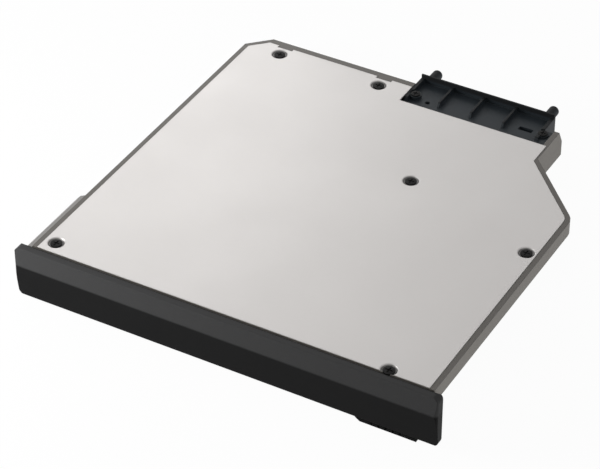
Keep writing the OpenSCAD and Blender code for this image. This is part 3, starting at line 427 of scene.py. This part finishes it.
dress(satin_sheet(), "top_cover")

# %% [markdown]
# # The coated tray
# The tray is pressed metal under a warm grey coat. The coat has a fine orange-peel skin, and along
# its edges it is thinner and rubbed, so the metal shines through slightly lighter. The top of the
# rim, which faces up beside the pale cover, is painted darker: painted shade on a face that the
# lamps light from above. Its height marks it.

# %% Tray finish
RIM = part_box("base_tray")[1].z


def grey_coat():
    deep, thin = (0.172, 0.158, 0.140), (0.198, 0.183, 0.163)
    painted_rim_shade = (0.076, 0.069, 0.061)
    bare_metal = (0.30, 0.29, 0.275)
    coat = Finish("grey_coat", Metallic=0.35)
    peel = coat.noise(scale=1500.0)
    clouds = coat.noise(scale=55.0)
    # The rim's top is painted dark brown: painted shade, so that it reads as dark as the shaded
    # side walls.
    on_top = coat.above(low=RIM - 0.35 * MM, high=RIM - 0.15 * MM)
    base = coat.mixed(on_top, coat.mixed(clouds, deep, thin), painted_rim_shade)
    rubbed = coat.worn(radius=0.25 * MM) * coat.banded(clouds, low=0.35, high=0.7)
    coat.set("Base Color", coat.mixed(0.3 * rubbed, base, bare_metal))
    coat.set("Roughness", 0.44 + 0.10 * peel)
    coat.bumped(peel, distance=0.02 * MM, strength=0.25, radius=0.15 * MM)
    return coat.material


dress(grey_coat(), "base_tray")

# %% [markdown]
# # Moulded plastics
# The bezel and the latch are black plastic from a spark-eroded mould, which leaves a fine even
# grain that scatters the light. Above its crease the bezel is duller and painted paler: a painted
# highlight on the upper facet, which faces the light more. The connector is glass-filled plastic:
# greyer in its pockets, with a faint mottle, and the tops of its ribs and walls are painted
# blacker, as painted shadow of the ribs. The guide rail and the sockets are smoother. All are the
# same kind of surface, so one function makes them. Where a piece has painted light or shade, a
# height parts the two tones.

# %% One function for moulded plastic
def moulded(name, dark, light, edge, gloss, rough, grain_scale, grain_depth, upper=None):
    """Grained plastic. With 'upper', the part above a height gets a painted tone, painted light or
    painted shade, and is duller.
    """
    plastic = Finish(name, Specular_IOR_Level=gloss)
    grain = plastic.noise(grain_scale, detail=4.0)
    mottle = plastic.noise(scale=120.0, detail=2.0)
    base = plastic.mixed(mottle, dark, light)
    rough = rough + 0.12 * grain
    # The tone above the height is painted light or shade: paler on the bezel as a painted
    # highlight, blacker on the connector as painted shadow.
    if upper:
        height, colour = upper
        fade = 0.5 * MM
        above = plastic.above(height - fade, height + fade)
        base = plastic.mixed(above * (0.85 + 0.3 * grain), base, colour)
        rough = rough + 0.15 * above
    rubbed = 0.6 * plastic.worn(radius=0.3 * MM)
    plastic.set("Base Color", plastic.mixed(rubbed, base, edge))
    plastic.set("Roughness", rough)
    plastic.bumped(grain, distance=grain_depth, strength=0.5, radius=0.25 * MM)
    return plastic.material


print("moulded plastic is ready to be coloured")

# %% Four plastics
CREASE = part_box("front_bezel")[1].z - 6.0 * MM
WALL_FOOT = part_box("bay_connector")[1].z - 1.55 * MM

# The bezel's upper facet gets a paler colour above the crease: a painted highlight for the light
# that falls on it from above.
bezel_black = moulded(
    "bezel_black", dark=(0.006, 0.006, 0.0062), light=(0.008, 0.008, 0.0082),
    edge=(0.016, 0.016, 0.0165), gloss=0.04, rough=0.38, grain_scale=3200.0,
    grain_depth=0.015 * MM, upper=(CREASE, (0.055, 0.055, 0.0555)))
# Above the foot of its walls the connector is painted near black: painted shadow on its ribs and
# rear wall. Its edge colour, darker than its pockets, paints shade along the pockets' edges.
connector_black = moulded(
    "connector_black", dark=(0.0190, 0.0238, 0.0282), light=(0.0245, 0.0305, 0.0360),
    edge=(0.012, 0.013, 0.014), gloss=0.15, rough=0.42, grain_scale=2400.0,
    grain_depth=0.012 * MM, upper=(WALL_FOOT, (0.0065, 0.0073, 0.0082)))
rail_grey = moulded(
    "rail_grey", dark=(0.20, 0.193, 0.185), light=(0.23, 0.222, 0.213),
    edge=(0.32, 0.31, 0.30), gloss=0.4, rough=0.38, grain_scale=1800.0, grain_depth=0.01 * MM)
socket_black = moulded(
    "socket_black", dark=(0.020, 0.020, 0.022), light=(0.027, 0.027, 0.029),
    edge=(0.05, 0.05, 0.052), gloss=0.4, rough=0.36, grain_scale=2400.0, grain_depth=0.01 * MM)
dress(bezel_black, "front_bezel", "latch_slider")
dress(connector_black, "bay_connector")
dress(rail_grey, "side_guide_rail")
dress(socket_black, "drive_receptacle", "ssd_plug")

# %% [markdown]
# # Metals of the small pieces
# Screws are blackened steel, the keeper and the spring are bright steel, contacts are gold over
# nickel. Small turned and drawn pieces show fine scratches in their roughness. The blackening is
# an oxide skin that hides the metal, so this finish is barely metallic and has little gloss.

# %% Metal finishes
def small_metal(name, colour, shade, rough, scratch_scale, **constants):
    """Scratched metal of two tones. Without other constants it is pure metal."""
    metal = Finish(name, **(constants or {"Metallic": 1.0}))
    along_y = metal.stretched(x=scratch_scale, y=scratch_scale / 8, z=scratch_scale)
    scratches = metal.noise(scale=1.0, where=along_y)
    metal.set("Base Color", metal.mixed(scratches, colour, shade))
    metal.set("Roughness", rough + 0.15 * scratches)
    metal.bumped(scratches, distance=0.004 * MM, strength=0.3, radius=0.05 * MM)
    return metal.material


black_steel = small_metal(
    "black_steel", colour=(0.008, 0.0075, 0.007), shade=(0.004, 0.004, 0.004), rough=0.42,
    scratch_scale=5000.0, Metallic=0.2, Specular_IOR_Level=0.08)
bright_steel = small_metal(
    "bright_steel", colour=(0.62, 0.63, 0.64), shade=(0.50, 0.51, 0.52), rough=0.24,
    scratch_scale=4000.0)
contact_gold = small_metal(
    "contact_gold", colour=(0.86, 0.62, 0.25), shade=(0.72, 0.50, 0.19), rough=0.22,
    scratch_scale=6000.0)
drive_shell = small_metal(
    "drive_shell", colour=(0.56, 0.57, 0.59), shade=(0.48, 0.49, 0.51), rough=0.34,
    scratch_scale=1200.0)
dress(black_steel, "bezel_screws", "rail_screws", "drive_mount_screws", "latch_screws")
dress(bright_steel, "latch_keeper", "board_screws", "ssd_case_screws")
dress(contact_gold, "receptacle_contacts", "ssd_plug_contacts")
dress(drive_shell, "ssd_case_base", "ssd_case_lid")

# %% [markdown]
# # The circuit boards
# A circuit board shows its copper tracks as slightly raised, lighter green lines under the solder
# mask. Drawing each track would be wasted on a board that is hidden in its case. Bands cut out of
# two crossing waves, switched by a cell pattern, look like such tracks from a step away.

# %% Solder mask
def solder_mask():
    bare, over_copper = (0.010, 0.085, 0.040), (0.018, 0.150, 0.070)
    board = Finish("solder_mask", Coat_Weight=0.35, Coat_Roughness=0.15)

    def waves(direction):
        inputs = {"Vector": board.place, "Scale": 260.0, "Distortion": 0.0}
        return board.node("ShaderNodeTexWave", {"bands_direction": direction}, inputs, output=1)

    inputs = {"Vector": board.place, "Scale": 140.0}
    cells = board.node("ShaderNodeTexVoronoi", None, inputs, output=1)
    red = board.node("ShaderNodeSeparateColor", None, {"Color": cells})
    side = board.banded(red, low=0.45, high=0.55)
    tracks = board.banded(side * waves("X") + (1.0 - side) * waves("Y"), low=0.55, high=0.7)
    board.set("Base Color", board.mixed(tracks, bare, over_copper))
    board.set("Roughness", 0.38 - 0.08 * tracks)
    board.bumped(tracks, distance=0.03 * MM, strength=0.6, radius=0.05 * MM)
    return board.material


dress(solder_mask(), "adapter_board", "ssd_board")

# %% [markdown]
# # Chips, films and pads
# Chips are matt epoxy, capacitors are brown ceramic, the film is waxy, and pads and foam are soft
# and dull. They differ in colour and in how coarse their pores are, so one function makes them.

# %% Dull inner finishes
def dull(name, dark, light, rough, pore_scale, pore_depth):
    """A soft or matt body with pores of a scale and depth."""
    soft = Finish(name, Specular_IOR_Level=0.4)
    pores = soft.noise(pore_scale, detail=4.0)
    soft.set("Base Color", soft.mixed(pores, dark, light))
    soft.set("Roughness", rough + 0.1 * pores)
    soft.bumped(pores, distance=pore_depth, strength=0.6, radius=0.08 * MM)
    return soft.material


chip_epoxy = dull(
    "chip_epoxy", dark=(0.020, 0.020, 0.021), light=(0.032, 0.032, 0.034), rough=0.55,
    pore_scale=3500.0, pore_depth=0.01 * MM)
passive_ceramic = dull(
    "passive_ceramic", dark=(0.26, 0.16, 0.09), light=(0.36, 0.23, 0.13), rough=0.45,
    pore_scale=1500.0, pore_depth=0.01 * MM)
film_sheet = dull(
    "film_sheet", dark=(0.50, 0.45, 0.32), light=(0.56, 0.51, 0.38), rough=0.35,
    pore_scale=300.0, pore_depth=0.01 * MM)
pad_foam = dull(
    "pad_foam", dark=(0.035, 0.036, 0.038), light=(0.075, 0.077, 0.080), rough=0.85,
    pore_scale=2200.0, pore_depth=0.15 * MM)
pad_thermal = dull(
    "pad_thermal", dark=(0.40, 0.47, 0.56), light=(0.46, 0.53, 0.62), rough=0.7,
    pore_scale=900.0, pore_depth=0.03 * MM)
dress(chip_epoxy, "adapter_chips", "ssd_controller", "ssd_memory_chips", "ssd_cache_chip")
dress(passive_ceramic, "ssd_passives")
dress(film_sheet, "insulating_sheet")
dress(pad_foam, "foam_pads")
dress(pad_thermal, "thermal_pads")

# %% [markdown]
# # Where the small pieces are
# The screws, the contacts and the spring are made again below. Their places and sizes aren't typed
# in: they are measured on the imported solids, so the new pieces sit in the same holes. A CAD node
# may hold many solids in one mesh. After its doubled corners are merged, walking along the edges
# from any corner reaches exactly one solid.

# %% Measure the solids of a node
def solids(node):
    """The lowest and highest corner of every separate solid in a CAD node."""
    loose = bmesh.new()
    loose.from_mesh(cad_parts[node].data)
    bmesh.ops.remove_doubles(loose, verts=loose.verts, dist=0.0001 * MM)
    waiting = set(loose.verts)
    found = []
    while waiting:
        group = [waiting.pop()]
        for vertex in group:
            for edge in vertex.link_edges:
                near = edge.other_vert(vertex)
                if near in waiting:
                    waiting.remove(near)
                    group.append(near)
        places = [vertex.co for vertex in group]
        found.append((
            Vector([min(p[i] for p in places) for i in range(3)]),
            Vector([max(p[i] for p in places) for i in range(3)])))
    loose.free()
    print(node, "holds", len(found), "solids")
    return sorted(found, key=lambda pair: tuple(pair[0]))


print("solids can be measured")

# %% [markdown]
# # Trees that make pieces
# Geometry Nodes suit pieces that repeat: the shape is built once and put on every point. Each tree
# has named inputs for its sizes, so it can be used again for another kind of screw. It ends in
# Realize Instances, because only real faces are exported, and in Set Material.

# %% A geometry tree with named inputs
class PieceTree(Graph):
    """A geometry tree. Its inputs are the points it gets, its sizes and its finish."""

    def __init__(self, name, inputs):
        super().__init__(bpy.data.node_groups.new(name, "GeometryNodeTree"))
        sockets = self.tree.interface
        sockets.new_socket("Geometry", in_out="INPUT", socket_type="NodeSocketGeometry")
        sockets.new_socket("Geometry", in_out="OUTPUT", socket_type="NodeSocketGeometry")
        for label, kind in {**inputs, "Finish": "Material"}.items():
            sockets.new_socket(label, in_out="INPUT", socket_type="NodeSocket" + kind)
        self.points = self.node("NodeGroupInput")

    def size(self, label):
        """The input of the tree that has this label."""
        return self.other(self.points, label)

    def vector(self, x=0.0, y=0.0, z=0.0):
        return self.node("ShaderNodeCombineXYZ", None, {0: x, 1: y, 2: z})

    def lifted(self, mesh, height):
        inputs = {"Geometry": mesh, "Translation": self.vector(z=height)}
        return self.node("GeometryNodeTransform", None, inputs)

    def on_points(self, piece, turn):
        """Put a piece on every point that the tree is given, turned by an angle or rotation."""
        inputs = {"Points": self.points, "Instance": piece, "Rotation": turn}
        return self.node("GeometryNodeInstanceOnPoints", None, inputs)

    def end(self, shape):
        """Make the shape real faces, give them the finish and hand them out."""
        real = self.node("GeometryNodeRealizeInstances", None, {"Geometry": shape})
        inputs = {"Geometry": real, "Material": self.size("Finish")}
        coated = self.node("GeometryNodeSetMaterial", None, inputs)
        self.node("NodeGroupOutput", None, {"Geometry": coated})
        print(self.tree.name, "has", len(self.tree.nodes), "nodes")
        return self.tree


print("geometry trees can be made")

# %% [markdown]
# # From a tree to a plain mesh
# A modifier's inputs are set by their identifiers before the object is first evaluated. The
# result is copied to a mesh of its own, because the object that is kept must hold plain geometry
# only. Faces that meet at a shallow angle are shaded smooth and the rest keep their crease.

# %% Grow a piece from a tree
CREASE_ANGLE = math.radians(35.0)


def grow(name, tree, points, values):
    """A new piece: what the tree makes of some points and some values for its inputs."""
    seed_mesh = bpy.data.meshes.new(name + "_points")
    seed_mesh.from_pydata([tuple(p) for p in points], [], [])
    seed = bpy.data.objects.new(name + "_points", seed_mesh)
    bpy.context.scene.collection.objects.link(seed)
    modifier = seed.modifiers.new("tree", "NODES")
    modifier.node_group = tree
    keys = {item.name: item.identifier for item in tree.interface.items_tree
            if item.item_type == "SOCKET" and item.in_out == "INPUT"}
    for label, value in values.items():
        modifier[keys[label]] = value
    bpy.context.view_layer.update()
    ready = seed.evaluated_get(bpy.context.evaluated_depsgraph_get())
    mesh = bpy.data.meshes.new_from_object(ready)
    mesh.name = name
    bpy.data.objects.remove(seed)
    piece = bpy.data.objects.new(name, mesh)
    bpy.context.scene.collection.objects.link(piece)
    mesh.shade_smooth()
    mesh.set_sharp_from_angle(angle=CREASE_ANGLE)
    print(name, "has", len(mesh.polygons), "faces")
    return piece


print("faces that meet at under", round(math.degrees(CREASE_ANGLE)), "degrees are shaded smooth")

# %% [markdown]
# # Screws from one tree
# The module is held together by screws of a few kinds: pan heads on the cover, the connector and
# the latch, flat heads in the underside, the bezel's lugs and the rail. All are a head, a shank
# and a cross recess, so one tree makes them all. The head starts as a plain cylinder. Its upper
# circles are lifted into a crown and its lower ones shrunk to a neck, which makes a flat head's
# cone, and two crossing bars are cut out of it for the recess.

# %% The screw tree
def screw_tree():
    g = PieceTree("screw_on_points", {
        "Head radius": "Float", "Head height": "Float", "Neck radius": "Float",
        "Crown": "Float", "Shank radius": "Float", "Shank length": "Float",
        "Recess reach": "Float", "Recess width": "Float", "Recess depth": "Float",
        "Turn": "Rotation"})

    head = g.node("GeometryNodeMeshCylinder", {"fill_type": "TRIANGLE_FAN"}, {
        "Vertices": 40, "Side Segments": 1, "Fill Segments": 4,
        "Radius": g.size("Head radius"), "Depth": g.size("Head height")})
    x = g.node("ShaderNodeSeparateXYZ", None, {0: g.node("GeometryNodeInputPosition")})
    y, z = g.other(x, 1), g.other(x, 2)
    out = (x * x + y * y) ** 0.5 / g.size("Head radius")
    upper = g.node("ShaderNodeMath", {"operation": "GREATER_THAN"}, {0: z, 1: 0.0})
    shrink = upper + (1.0 - upper) * g.size("Neck radius") / g.size("Head radius")
    lift = upper * g.size("Crown") * (1.0 - out ** 2.0)
    head = g.node("GeometryNodeSetPosition", None, {
        "Geometry": head, "Position": g.vector(x * shrink, y * shrink, z + lift)})

    long, short, deep = 2.0 * g.size("Recess reach"), g.size("Recess width"), g.size("Recess depth")
    top = 0.5 * g.size("Head height") + g.size("Crown")
    bars = [
        g.lifted(g.node("GeometryNodeMeshCube", None, {"Size": g.vector(a, b, 2.0 * deep)}), top)
        for a, b in ((long, short), (short, long))]
    head = g.node("GeometryNodeMeshBoolean", {"operation": "DIFFERENCE", "solver": "EXACT"}, {
        "Mesh 1": head, "Mesh 2": bars})
    head = g.lifted(head, 0.5 * g.size("Head height"))

    shank = g.node("GeometryNodeMeshCylinder", {"fill_type": "TRIANGLE_FAN"}, {
        "Vertices": 24, "Radius": g.size("Shank radius"), "Depth": g.size("Shank length")})
    shank = g.lifted(shank, -0.5 * g.size("Shank length"))
    screw = g.node("GeometryNodeJoinGeometry", None, {"Geometry": [head, shank]})
    return g.end(g.on_points(screw, g.size("Turn")))


SCREW_TREE = screw_tree()

# %% [markdown]
# # Six rows of screws
# The seat of a screw is where its head meets its shank. It is found from the outer end of the
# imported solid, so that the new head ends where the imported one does. Pan heads have a crown and
# keep their width, and flat heads have none and shrink to their shank.

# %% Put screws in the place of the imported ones
UP = (0.0, 0.0, 0.0)
DOWN = (math.pi, 0.0, 0.0)
LEFT = (0.0, -math.pi / 2, 0.0)
BACK = (-math.pi / 2, 0.0, 0.0)
X, Y, Z = range(3)


def screw_row(name, node, axis, outwards, turn, head, neck, crown, shank, reach, width, depth):
    """Replace the screws of a node. Neck, shank, reach and width are shares of the head's radius.

    axis and outwards say which way the heads face; head, crown and depth are lengths along it.
    """
    boxes = solids(node)
    across = (axis + 1) % 3
    radius = (boxes[0][1][across] - boxes[0][0][across]) / 2
    length = boxes[0][1][axis] - boxes[0][0][axis]
    seats = []
    for low, high in boxes:
        seat = (low + high) / 2
        seat[axis] = high[axis] - head - crown if outwards > 0 else low[axis] + head + crown
        seats.append(seat)
    piece = grow(name, SCREW_TREE, seats, {
        "Head radius": radius, "Head height": head, "Neck radius": radius * neck,
        "Crown": crown, "Shank radius": radius * shank, "Shank length": length - head - crown,
        "Recess reach": radius * reach, "Recess width": radius * width, "Recess depth": depth,
        "Turn": turn, "Finish": black_steel})
    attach(piece, "housing")
    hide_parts(node)


print("screws can be put in rows")

# %% Pan heads
screw_row("cover_screw_row", "cover_screws", axis=Z, outwards=1, turn=UP, head=0.32 * MM,
          neck=1.0, crown=0.10 * MM, shank=0.51, reach=0.62, width=0.24, depth=0.30 * MM)
screw_row("connector_screw_row", "connector_screws", axis=Z, outwards=1, turn=UP, head=0.30 * MM,
          neck=1.0, crown=0.10 * MM, shank=0.52, reach=0.62, width=0.24, depth=0.28 * MM)

# %% Flat heads
screw_row("mount_screw_row", "drive_mount_screws", axis=Z, outwards=-1, turn=DOWN, head=0.95 * MM,
          neck=0.577, crown=0.0, shank=0.577, reach=0.55, width=0.20, depth=0.45 * MM)
screw_row("bezel_screw_row", "bezel_screws", axis=Z, outwards=-1, turn=DOWN, head=0.90 * MM,
          neck=0.5, crown=0.0, shank=0.5, reach=0.55, width=0.22, depth=0.40 * MM)
screw_row("rail_screw_row", "rail_screws", axis=X, outwards=-1, turn=LEFT, head=0.80 * MM,
          neck=0.5, crown=0.0, shank=0.5, reach=0.55, width=0.24, depth=0.35 * MM)

# %% The latch's pan heads
screw_row("latch_screw_row", "latch_screws", axis=Y, outwards=1, turn=BACK, head=0.40 * MM,
          neck=1.0, crown=0.10 * MM, shank=0.46, reach=0.6, width=0.26, depth=0.25 * MM)

# %% [markdown]
# # Rows of contacts
# Each contact of the docking tongue is a flat strip whose tip dips into the plastic, so that it
# can't be caught and bent. One tree sweeps a flat profile along a short curve and puts a copy on
# every point. Points below the tongue's middle get the strip turned over.

# %% The contact tree
def contact_tree():
    g = PieceTree("strip_on_points", {
        "Length": "Float", "Width": "Float", "Thickness": "Float", "Dip": "Float",
        "Middle height": "Float"})
    half = 0.5 * g.size("Length")
    path = g.node("GeometryNodeCurveQuadraticBezier", None, {
        "Resolution": 8, "Start": g.vector(y=-1.0 * half), "Middle": g.vector(y=0.85 * half),
        "End": g.vector(y=half, z=-1.0 * g.size("Dip"))})
    path = g.node("GeometryNodeSetCurveNormal", {"mode": "Z_UP"}, {"Curve": path})
    profile = g.node("GeometryNodeCurvePrimitiveQuadrilateral", None, {
        "Width": g.size("Width"), "Height": g.size("Thickness")})
    strip = g.node("GeometryNodeCurveToMesh", None, {
        "Curve": path, "Profile Curve": profile, "Fill Caps": True})
    height = g.node("ShaderNodeSeparateXYZ", None, {
        0: g.node("GeometryNodeInputPosition")}, output=2)
    below = g.node("ShaderNodeMath", {"operation": "LESS_THAN"}, {
        0: height, 1: g.size("Middle height")})
    return g.end(g.on_points(strip, g.vector(y=math.pi * below)))


CONTACT_TREE = contact_tree()

# %% Contacts on both faces of the tongue
# Shares of a strip's thickness: the room that the dipped tip takes, and how deep it dips
TIP_ROOM = 0.2
TIP_DIP = 0.8

strips = solids("bay_contacts")
strip_size = strips[0][1] - strips[0][0]
strip_places = [(low + high) / 2 for low, high in strips]
contacts = grow("docking_contact_rows", CONTACT_TREE, strip_places, {
    "Length": strip_size.y - TIP_ROOM * strip_size.z, "Width": strip_size.x,
    "Thickness": strip_size.z, "Dip": TIP_DIP * strip_size.z,
    "Middle height": sum(p.z for p in strip_places) / len(strip_places), "Finish": contact_gold})
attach(contacts, "housing")
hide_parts("bay_contacts")

# %% [markdown]
# # The latch spring
# A compression spring is a helix of round wire. The Spiral node gives the helix and a small
# circle is swept along it. It lies along X between the latch's arm and the tab of the keeper,
# around the arm's short post, just where the imported spring is. It is made at rest; in the real
# latch its end at the keeper stays in place and it shortens as the latch slides.

# %% The spring tree
def spring_tree():
    g = PieceTree("wound_spring", {
        "Turns": "Float", "Coil radius": "Float", "Wire radius": "Float", "Length": "Float",
        "Place": "Vector"})
    helix = g.node("GeometryNodeCurveSpiral", None, {
        "Resolution": 24, "Rotations": g.size("Turns"), "Start Radius": g.size("Coil radius"),
        "End Radius": g.size("Coil radius"), "Height": g.size("Length")})
    wire = g.node("GeometryNodeCurvePrimitiveCircle", None, {
        "Resolution": 10, "Radius": g.size("Wire radius")})
    coil = g.node("GeometryNodeCurveToMesh", None, {
        "Curve": helix, "Profile Curve": wire, "Fill Caps": True})
    return g.end(g.node("GeometryNodeTransform", None, {
        "Geometry": coil, "Rotation": (0.0, math.pi / 2, 0.0), "Translation": g.size("Place")}))


SPRING_TREE = spring_tree()

# %% Spring
TURNS = 6.0
WIRE_RADIUS = 0.18 * MM

spring_low, spring_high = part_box("latch_spring")
spring_length = spring_high.x - spring_low.x
spring_axis = (spring_low + spring_high) / 2
spring_axis.x = spring_low.x + WIRE_RADIUS
spring = grow("wound_latch_spring", SPRING_TREE, [(0.0, 0.0, 0.0)], {
    "Turns": TURNS, "Coil radius": (spring_high.z - spring_low.z) / 2 - WIRE_RADIUS,
    "Wire radius": WIRE_RADIUS, "Length": spring_length - 2 * WIRE_RADIUS,
    "Place": tuple(spring_axis), "Finish": bright_steel})
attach(spring, "housing")
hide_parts("latch_spring")
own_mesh(spring)
print("spring is", round(spring_length / MM, 2), "mm long at rest")

# %% End of the scene
print("the scene is built")
